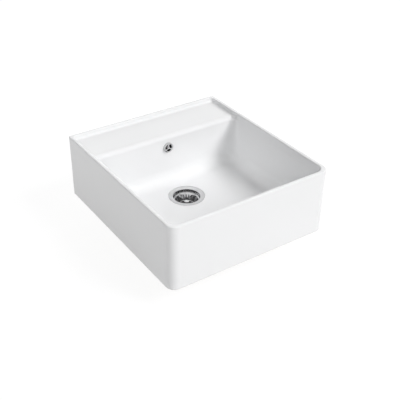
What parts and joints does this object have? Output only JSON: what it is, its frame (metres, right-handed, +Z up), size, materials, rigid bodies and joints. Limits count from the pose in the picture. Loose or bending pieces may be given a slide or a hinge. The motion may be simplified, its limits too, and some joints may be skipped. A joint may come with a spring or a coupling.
{
  "type": "kitchen sink",
  "caption": "White fireclay farmhouse sink: apron front, raised rim, recessed tap deck, deep bowl, lift-out strainer basket, waste and overflow.",
  "frame": {"origin": "middle of the foot plane on which the basin stands, below the middle of its width and depth", "axes": "+X to the user's right, +Y from the apron front to the back, +Z up"},
  "size_m": [0.55, 0.6, 0.2945],
  "materials": {
    "glaze": "white glossy glaze on fireclay",
    "stainless": "bright stainless steel",
    "polished_steel": "polished",
    "rubber": "black rubber",
    "brass": "machined brass",
    "white_plastic": "white moulded plastic",
    "dark_plastic": "black moulded plastic"
  },
  "bodies": {
    "sink": {"sink_basin": "glaze", "waste_flange": "stainless", "waste_flange_seal": "rubber", "waste_body_gasket": "rubber", "waste_body": "dark_plastic", "waste_outlet": "dark_plastic", "waste_body_insert": "brass", "waste_clamp_screw": "stainless", "overflow_rosette": "polished_steel", "overflow_rosette_seal": "rubber", "overflow_screw": "stainless", "overflow_elbow_gasket": "rubber", "overflow_elbow": "dark_plastic", "overflow_elbow_insert": "brass", "overflow_pipe": "dark_plastic", "pipe_nuts": "dark_plastic", "pipe_cone_seals": "rubber"},
    "basket_guide": {"basket_detent_clip": "white_plastic"},
    "basket": {"basket_stem": "stainless", "basket_knob": "polished_steel", "strainer_basket": "stainless", "basket_plug_seal": "rubber", "basket_retaining_washer": "stainless"}
  },
  "joints": [
    {"name": "basket_lift", "type": "slide", "parent": "sink", "child": "basket_guide", "axis": [0, 0, 1], "range_m": [0, 0.26]},
    {"name": "basket_turn", "type": "hinge", "parent": "basket_guide", "child": "basket", "pos_m": [0, 0.0435, 0], "axis": [0, 0, 1], "continuous": true}
  ]
}
